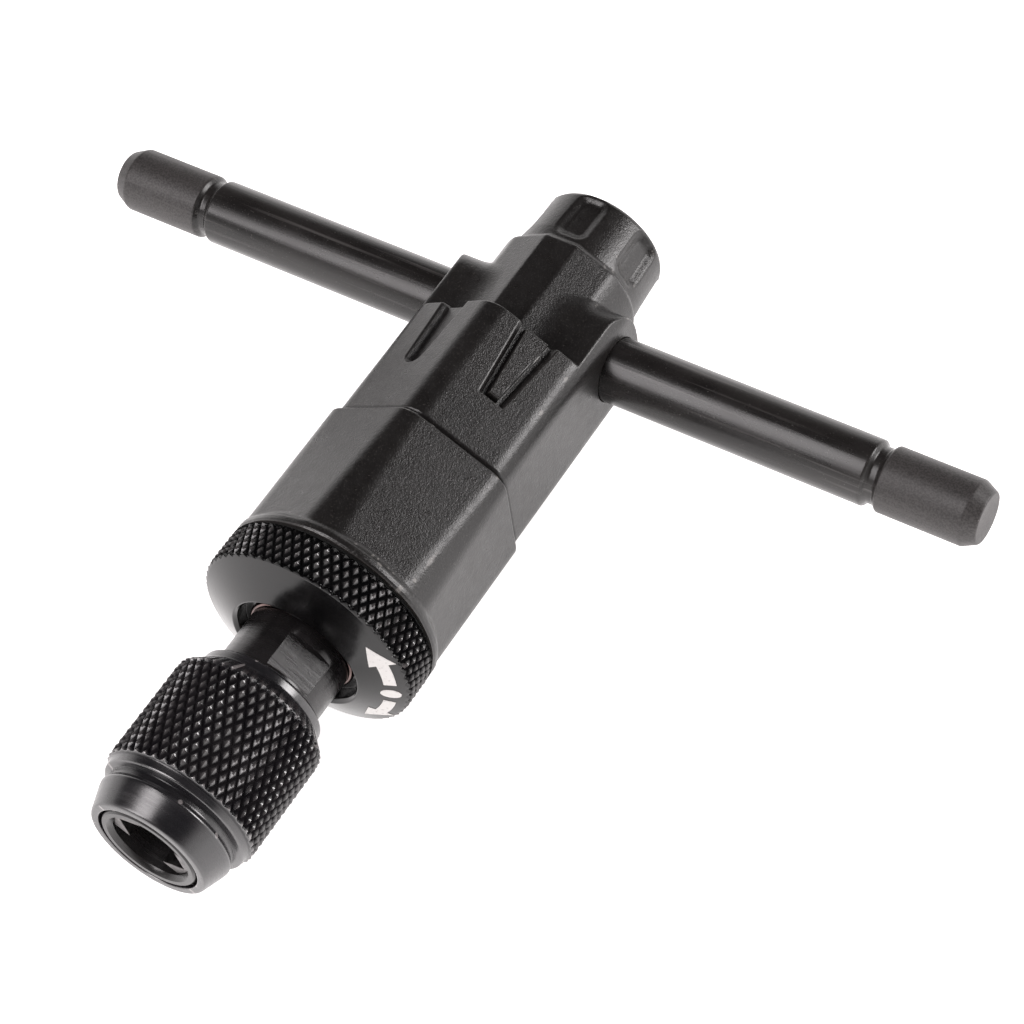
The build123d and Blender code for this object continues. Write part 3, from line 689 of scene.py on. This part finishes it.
def bored(mesh, cutter_mesh):
    """The mesh with the cutter taken away."""
    piece = bpy.data.objects.new(mesh.name, mesh)
    cutter = bpy.data.objects.new("cutter", cutter_mesh)
    for o in (piece, cutter):
        bpy.context.scene.collection.objects.link(o)
    cut = piece.modifiers.new("cut", "BOOLEAN")
    cut.object = cutter
    cut.solver = "MANIFOLD"
    bpy.context.view_layer.update()
    result = bpy.data.meshes.new_from_object(piece.evaluated_get(bpy.context.evaluated_depsgraph_get()))
    piece.modifiers.clear()
    piece.data = result
    bpy.data.objects.remove(cutter)
    return piece


def rod_mesh(radius, half, y, z, segments=96):
    """Plain closed rod along X."""
    points = []
    for x in (-half, half):
        for k in range(segments):
            turn = math.tau * k / segments
            points.append((x, y + radius * math.cos(turn), z + radius * math.sin(turn)))
    faces = [tuple(range(segments)), tuple(range(2 * segments - 1, segments - 1, -1))]
    for k in range(segments):
        n = (k + 1) % segments
        faces.append((k, k + segments, n + segments, n))
    mesh = bpy.data.meshes.new("rod")
    mesh.from_pydata(points, [], faces)
    outward(mesh)
    return mesh


def housing():
    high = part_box("housing")[1]
    bar_low, bar_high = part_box("tommy_bar")
    bar_y, axis_z = (bar_low.y + bar_high.y) / 2, (bar_low.z + bar_high.z) / 2
    skin = housing_mesh("housing_cast", bar_y, axis_z)
    piece = bored(skin, rod_mesh(BAR_HOLE_RADIUS * MM, high.x * 1.2, bar_y, axis_z))
    piece.data.shade_smooth()
    piece.data.set_sharp_from_angle(angle=math.radians(50))
    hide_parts("housing")
    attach(piece, "housing")
    dress(piece, "cast_body")


# ---------------------------------------------------------------- pieces shown as the CAD made them


def soften(node, width, segments=2, angle=28.0):
    """Weld the CAD node's split vertices and round its sharp edges."""
    piece = frame["nodes"][node]
    weld = piece.modifiers.new("weld", "WELD")
    weld.merge_threshold = 1e-6
    bevel = piece.modifiers.new("bevel", "BEVEL")
    bevel.width = width
    bevel.segments = segments
    bevel.limit_method = "ANGLE"
    bevel.angle_limit = math.radians(angle)
    bevel.harden_normals = True
    return piece


def dress_cad_nodes():
    slots = {part["node"]: part["material_slot"] for part in frame["record"]["subparts"]}
    for node, piece in frame["nodes"].items():
        if node not in ("chuck_sleeve", "selector_ring", "housing", "tommy_bar"):
            dress(piece, slots[node])
    soften("spindle", 0.12 * MM)
    soften("jaw_left", 0.08 * MM)
    soften("jaw_right", 0.08 * MM)


# ---------------------------------------------------------------- floor, light, camera


def floor():
    mesh = bpy.data.meshes.new("floor")
    half = 3.0
    corners = [(-half, -half, 0), (half, -half, 0), (half, half, 0), (-half, half, 0)]
    mesh.from_pydata(corners, [], [(0, 1, 2, 3)])
    piece = bpy.data.objects.new("floor", mesh)
    bpy.context.scene.collection.objects.link(piece)
    s = Shade("pale_floor")
    haze = s.noise(3.0, 2.0)
    colour = s.mix(haze, (0.88, 0.88, 0.88), (0.9, 0.9, 0.9))
    s.finish(colour, s.spread(haze, 0.3, 0.7, 0.85, 0.9))
    s.shader.inputs["Emission Color"].default_value = (1.0, 0.97, 0.965, 1.0)
    s.shader.inputs["Emission Strength"].default_value = 1.0
    mesh.materials.append(s.material)


def softbox(name, direction, distance, size, radiance, colour=(1.0, 1.0, 1.0)):
    """A rectangular light that faces the object from a direction."""
    data = bpy.data.lights.new(name, "AREA")
    data.shape = "RECTANGLE"
    data.size, data.size_y = size
    data.color = colour
    data.energy = radiance * math.pi * size[0] * size[1]
    light = bpy.data.objects.new(name, data)
    way = Vector(direction).normalized()
    light.location = AIM + way * distance
    light.rotation_euler = way.to_track_quat("Z", "Y").to_euler()
    light.visible_camera = False
    bpy.context.scene.collection.objects.link(light)


def studio():
    """A bright sweep round the floor that fades to a dark ceiling, and two softboxes."""
    world = bpy.data.worlds.new("studio")
    bpy.context.scene.world = world
    world.use_nodes = True
    tree = world.node_tree
    place = tree.nodes.new("ShaderNodeTexCoord")
    split = tree.nodes.new("ShaderNodeSeparateXYZ")
    ramp = tree.nodes.new("ShaderNodeValToRGB")
    ramp.color_ramp.elements[0].position = 0.16
    ramp.color_ramp.elements[0].color = (1, 0.97, 0.965, 1)
    ramp.color_ramp.elements[1].position = 0.42
    ramp.color_ramp.elements[1].color = (0.03, 0.0285, 0.0285, 1)
    back = tree.nodes["Background"]
    back.inputs["Strength"].default_value = 1.35
    tree.links.new(place.outputs["Generated"], split.inputs["Vector"])
    tree.links.new(split.outputs["Z"], ramp.inputs["Fac"])
    tree.links.new(ramp.outputs["Color"], back.inputs["Color"])
    softbox("key", (-0.345, -0.493, 0.799), 0.55, (0.25, 0.46), 6.0, (1.0, 0.955, 0.965))
    softbox("rim", (0.70, 0.55, 0.45), 0.60, (0.24, 0.22), 11.0, (1.0, 0.97, 0.97))


def camera():
    data = bpy.data.cameras.new("camera")
    data.lens = LENS_MM
    data.sensor_width = SENSOR_MM
    data.clip_start = 0.01
    seat = bpy.data.objects.new("camera", data)
    bpy.context.scene.collection.objects.link(seat)
    back = -LOOK.normalized()
    side = (SIDE - SIDE.dot(back) * back).normalized()
    up = back.cross(side)
    turn = Matrix((side, up, back)).transposed().to_4x4()
    seat.matrix_world = Matrix.Translation(AIM + back * CAMERA_DISTANCE) @ turn
    bpy.context.scene.camera = seat


dress_cad_nodes()
housing()
chuck_sleeve()
selector_ring()
tommy_bar()
floor()
studio()
camera()
bpy.context.scene.view_settings.view_transform = "Standard"
